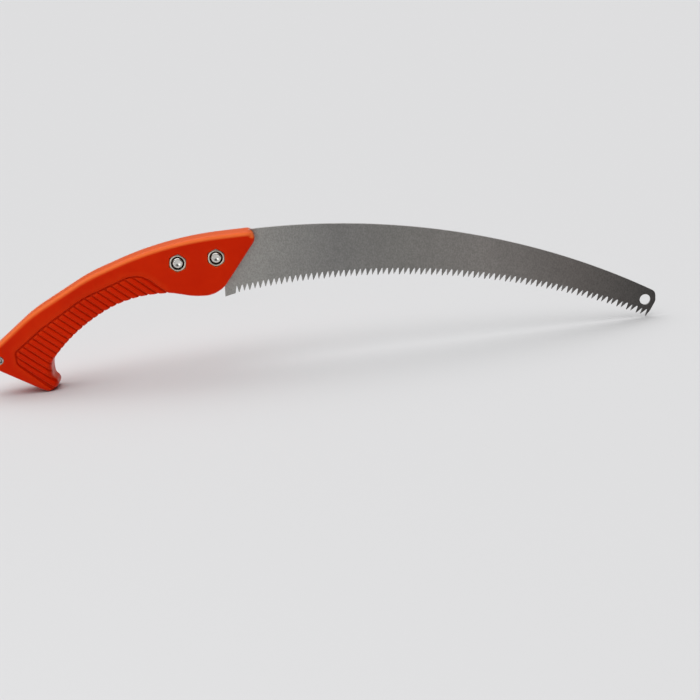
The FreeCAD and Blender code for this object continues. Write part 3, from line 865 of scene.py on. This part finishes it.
def plastic_material():
    """Orange-red moulded plastic: fine spark grain, faint flow clouds, dull and glossy patches, painted
    light that makes what faces up more orange, a painted highlight on the top's rounded edges, painted
    shade in the grooves, and lighter convex edges with rubbed wear and a painted highlight."""
    material, nodes, links, shader = new_material("handle_plastic")
    at = place(nodes)
    clouds = noise(nodes, links, at, 28, 4.0)
    colour = ramp(nodes, links, clouds, CLOUDY_PLASTIC)
    upward = axes(nodes, links, nodes.new("ShaderNodeTexCoord").outputs["Normal"])["Z"]
    # painted light from above: what faces up is lighter and more orange
    top_light = level(nodes, links, upward, 0.15, 0.55)
    groove = nodes.new("ShaderNodeAttribute")
    groove.attribute_name = "groove"
    top_light_outside_grooves = nodes.new("ShaderNodeMath")
    top_light_outside_grooves.operation = "MULTIPLY_ADD"
    top_light_outside_grooves.use_clamp = True
    links.new(groove.outputs["Fac"], top_light_outside_grooves.inputs[0])
    top_light_outside_grooves.inputs[1].default_value = GROOVE_SHADE
    links.new(top_light, top_light_outside_grooves.inputs[2])
    # painted highlight on the top's rounded edges, painted top light on its flat
    top_light_and_highlight = ramp(nodes, links, upward, ((0.62, RIDGE_HIGHLIGHT_PLASTIC), (0.93, TOP_LIGHT_PLASTIC)))
    colour = blend(nodes, links, colour, top_light_and_highlight, top_light_outside_grooves.outputs["Value"])
    # painted shade in the grip's grooves
    groove_shade_mix = level(nodes, links, groove.outputs["Fac"], 0.15, 0.7, 0.0, GROOVE_SHADE_STRENGTH)
    colour = blend(nodes, links, colour, SHADED_GROOVE_PLASTIC, groove_shade_mix)
    edges = nodes.new("ShaderNodeNewGeometry").outputs["Pointiness"]
    # lighter on convex edges: rubbed wear and a painted highlight
    rubbed_highlight = level(nodes, links, edges, 0.505, 0.56, 0.0, 0.5)
    links.new(blend(nodes, links, colour, RUBBED_HIGHLIGHT_PLASTIC, rubbed_highlight), shader.inputs["Base Color"])
    grain = noise(nodes, links, at, 2600, 2.0)
    patches = noise(nodes, links, at, 90, 5.0, 0.65)
    links.new(level(nodes, links, patches, 0.0, 1.0, 0.26, 0.42), shader.inputs["Roughness"])
    bump(nodes, links, grain, shader, 0.04 * MM, 0.35)
    shader.inputs["IOR"].default_value = 1.5
    shader.inputs["Specular IOR Level"].default_value = 0.4
    shader.inputs["Specular Tint"].default_value = (1.0, 0.35, 0.10, 1)
    shader.inputs["Sheen Weight"].default_value = 0.1
    shader.inputs["Sheen Roughness"].default_value = 0.5
    shader.inputs["Sheen Tint"].default_value = (1.0, 0.42, 0.05, 1)
    return material


def steel_material(heel, tip):
    """Satin blade steel between two X positions: fine ground speckle, faint blotches, painted
    reflection that darkens it towards the tip, and brighter on the bevels of its teeth."""
    material, nodes, links, shader = new_material("blade_steel")
    at = place(nodes)
    stretch = nodes.new("ShaderNodeMapping")
    stretch.inputs["Scale"].default_value = (1.0, 1.0, 0.7)
    links.new(at, stretch.inputs["Vector"])
    speckle = noise(nodes, links, stretch.outputs["Vector"], 1100, 3.0, 0.65)
    blotches = noise(nodes, links, at, 38, 5.0, 0.6)
    # painted reflection: the blade darkens towards its tip
    along = level(nodes, links, axes(nodes, links, at)["X"], heel, tip)
    colour = ramp(nodes, links, along, STEEL_REFLECTION_TONES)
    for source, stops in ((speckle, STEEL_GRAIN), (blotches, STEEL_CLOUDS)):
        colour = blend(nodes, links, colour, ramp(nodes, links, source, stops), how="MULTIPLY")
    facing = nodes.new("ShaderNodeMath")
    facing.operation = "ABSOLUTE"
    normal = nodes.new("ShaderNodeNewGeometry").outputs["True Normal"]
    links.new(axes(nodes, links, normal)["Y"], facing.inputs[0])
    ground = level(nodes, links, facing.outputs["Value"], 0.985, 0.90)
    links.new(blend(nodes, links, colour, GROUND_STEEL, ground), shader.inputs["Base Color"])
    shader.inputs["Metallic"].default_value = 1.0
    links.new(level(nodes, links, blotches, 0.0, 1.0, 0.36, 0.50), shader.inputs["Roughness"])
    bump(nodes, links, speckle, shader, 0.04 * MM, 0.6)
    return material


def plated_material(name, light, dark, roughness, painted_shade=None):
    """Plated fastener steel with a slight mottle, darkened with painted shade between two levels in Y."""
    material, nodes, links, shader = new_material(name)
    at = place(nodes)
    mottle = noise(nodes, links, at, 700, 4.0)
    colour = ramp(nodes, links, mottle, ((0.3, dark), (0.7, light)))
    uneven = level(nodes, links, mottle, 0.0, 1.0, roughness * 0.8, roughness * 1.3)
    links.new(uneven, shader.inputs["Roughness"])
    # painted shade down the fastener, where it sits in the handle
    if painted_shade:
        depth = axes(nodes, links, at)["Y"]
        band = nodes.new("ShaderNodeMath")
        band.operation = "MULTIPLY"
        near, far = painted_shade
        for k, (start, full) in enumerate(((near, near + PAINTED_SHADE_FADE), (far + PAINTED_SHADE_FADE, far))):
            links.new(level(nodes, links, depth, start * MM, full * MM), band.inputs[k])
        colour = blend(nodes, links, colour, FASTENER_PAINTED_SHADE, band.outputs["Value"])
    links.new(colour, shader.inputs["Base Color"])
    shader.inputs["Metallic"].default_value = 1.0
    bump(nodes, links, mottle, shader, 0.03 * MM, 0.3)
    return material


# ---------------------------------------------------------------- stage

def camera():
    """Camera that looks at the target from its distance, azimuth and elevation, rolled about its axis."""
    eye = bpy.data.objects.new("camera", bpy.data.cameras.new("camera"))
    bpy.context.scene.collection.objects.link(eye)
    azimuth = math.radians(VIEW_AZIMUTH)
    elevation = math.radians(VIEW_ELEVATION)
    forward = Vector((-math.sin(azimuth) * math.cos(elevation), math.cos(azimuth) * math.cos(elevation),
                      -math.sin(elevation)))
    facing = forward.to_track_quat("-Z", "Y").to_matrix().to_4x4()
    roll = Matrix.Rotation(math.radians(VIEW_ROLL), 4, "Z")
    eye.matrix_world = Matrix.Translation(Vector(VIEW_TARGET) - forward * VIEW_DISTANCE) @ facing @ roll
    eye.data.lens = LENS
    eye.data.sensor_width = SENSOR
    eye.data.clip_end = VIEW_REACH
    bpy.context.scene.camera = eye


def low_window():
    """Soft lamp near the floor, that the camera doesn't see."""
    lamp = bpy.data.lights.new("low_window", "AREA")
    lamp.shape = "DISK"
    lamp.size = WINDOW_SIZE
    lamp.energy = WINDOW_POWER
    holder = bpy.data.objects.new("low_window", lamp)
    bpy.context.scene.collection.objects.link(holder)
    holder.location = WINDOW_AT
    holder.visible_camera = False
    holder.rotation_euler = (Vector(WINDOW_AIM) - Vector(WINDOW_AT)).to_track_quat("-Z", "Y").to_euler()


def paper_floor():
    """Wide pale matt floor."""
    mesh = bpy.data.meshes.new("floor")
    work = bmesh.new()
    bmesh.ops.create_circle(work, cap_ends=True, segments=96, radius=FLOOR_RADIUS)
    work.to_mesh(mesh)
    work.free()
    floor = bpy.data.objects.new("floor", mesh)
    bpy.context.scene.collection.objects.link(floor)
    material, _, _, shader = new_material("floor_paper")
    shader.inputs["Base Color"].default_value = FLOOR_PAPER
    shader.inputs["Specular IOR Level"].default_value = 0.0
    shader.inputs["Roughness"].default_value = 1.0
    mesh.materials.append(material)


def sky():
    """World with a dim sky and its bright parts, which the camera sees as a plain wall."""
    world = bpy.data.worlds.new("room")
    bpy.context.scene.world = world
    world.use_nodes = True
    nodes = world.node_tree.nodes
    links = world.node_tree.links
    direction = nodes.new("ShaderNodeTexCoord").outputs["Generated"]
    total = None
    for middle, (start, full), strength in SKY_PARTS:
        toward = nodes.new("ShaderNodeVectorMath")
        toward.operation = "DOT_PRODUCT"
        toward.inputs[1].default_value = Vector(middle).normalized()
        links.new(direction, toward.inputs[0])
        glow = level(nodes, links, toward.outputs["Value"], start, full, 0.0, strength, "SMOOTHSTEP")
        add = nodes.new("ShaderNodeMath")
        add.inputs[1].default_value = SKY_DIM
        links.new(glow, add.inputs[0])
        if total:
            links.new(total, add.inputs[1])
        total = add.outputs["Value"]
    links.new(total, nodes["Background"].inputs["Strength"])
    nodes["Background"].inputs["Color"].default_value = (1.0, 1.0, 1.0, 1)
    wall = nodes.new("ShaderNodeBackground")
    wall.inputs["Color"].default_value = ROOM_WALL
    seen = nodes.new("ShaderNodeMixShader")
    links.new(nodes.new("ShaderNodeLightPath").outputs["Is Camera Ray"], seen.inputs["Fac"])
    links.new(nodes["Background"].outputs["Background"], seen.inputs[1])
    links.new(wall.outputs["Background"], seen.inputs[2])
    links.new(seen.outputs["Shader"], nodes["World Output"].inputs["Surface"])


# ---------------------------------------------------------------- the saw

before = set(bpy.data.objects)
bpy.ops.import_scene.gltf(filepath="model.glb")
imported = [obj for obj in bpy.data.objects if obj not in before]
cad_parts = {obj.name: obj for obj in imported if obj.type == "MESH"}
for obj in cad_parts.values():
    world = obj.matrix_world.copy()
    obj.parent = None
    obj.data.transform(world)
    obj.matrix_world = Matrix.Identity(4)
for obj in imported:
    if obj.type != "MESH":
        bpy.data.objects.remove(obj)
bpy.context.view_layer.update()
camera()
paper_floor()
sky()
low_window()
bpy.context.scene.view_settings.view_transform = "Standard"

# From outline millimetres to the frame's, by the eyelet's place in both
eyelet_low, eyelet_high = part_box("lanyard_eyelet")
SHIFT_X = (eyelet_low.x + eyelet_high.x) / 2 / MM - EYELET_AT[0]
SHIFT_Z = (eyelet_low.z + eyelet_high.z) / 2 / MM - EYELET_AT[1]
HALF_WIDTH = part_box("bolt_side_shell")[1].y / MM

PANEL = Outline(*rounded(PANEL_OUTLINE))

nut_pockets = []
bolt_pockets = []
for which in ("rear", "front"):
    centre = middle_of(which + "_blade_bolt")[0]
    _, _, nut_floor = middle_of(which + "_blade_nut")
    nut_hexagon = hex_radius(NUT_ACROSS + 2 * POCKET_GAP, NUT_TURN[which], POCKET_CORNER)
    nut_pockets.append((polar_loop(centre, nut_hexagon, FINE_TURN), -nut_floor, BOLT_HOLE))
    _, washer_floor, _ = middle_of(which + "_washer")
    bolt_pockets.append((circle(centre, COUNTERBORE, 72), washer_floor, BOLT_HOLE))
    screw = middle_of(which + "_grip_screw")[0]
    bolt_pockets.append((circle(screw, SCREW_BORE), HALF_WIDTH - SCREW_SINK, SCREW_HOLE))
eyelet_mouth = circle(EYELET_AT, EYELET_FLANGE + POCKET_GAP, 48)
for pockets in (nut_pockets, bolt_pockets):
    pockets.append((eyelet_mouth, HALF_WIDTH - EYELET_SINK, EYELET_TUBE + 0.02))

plastic = plastic_material()
steel = steel_material(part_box("bolt_side_shell")[1].x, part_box("blade")[1].x)
nut_face = middle_of("rear_blade_nut")[1]
bolt_face = middle_of("rear_blade_bolt")[1]
bright = plated_material("bolt_steel", (0.74, 0.73, 0.69), (0.58, 0.57, 0.53), 0.24,
                         (bolt_face + PAINTED_SHADE_DEPTH, PAINTED_SHADE_END))
dull = plated_material("nut_steel", (0.66, 0.61, 0.52), (0.50, 0.46, 0.39), 0.28,
                       (nut_face + PAINTED_SHADE_DEPTH, PAINTED_SHADE_END))
washer = plated_material("washer_steel", (0.62, 0.60, 0.55), (0.48, 0.46, 0.42), 0.34)
grey = plated_material("screw_steel", (0.55, 0.55, 0.54), (0.42, 0.42, 0.41), 0.30)
nickel = plated_material("eyelet_nickel", (0.62, 0.59, 0.57), (0.50, 0.47, 0.46), 0.20)

skin = handle_rows()
inner = side_points(loop_outline(skin[-1][0]))
nut_shell = shell_piece("nut_side_shell_body", -1, skin, inner, nut_pockets)
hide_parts("nut_side_shell")
nut_shell.data.materials.append(plastic)
bolt_shell = shell_piece("bolt_side_shell_body", 1, skin, inner, bolt_pockets)
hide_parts("bolt_side_shell")
bolt_shell.data.materials.append(plastic)
blade = blade_piece()
blade.data.materials.append(steel)
eyelet_piece().data.materials.append(nickel)
for which in ("rear", "front"):
    nut_piece(which).data.materials.append(dull)
    bolt_piece(which).data.materials.append(bright)
    washer_piece(which).data.materials.append(washer)
    screw_piece(which).data.materials.append(grey)
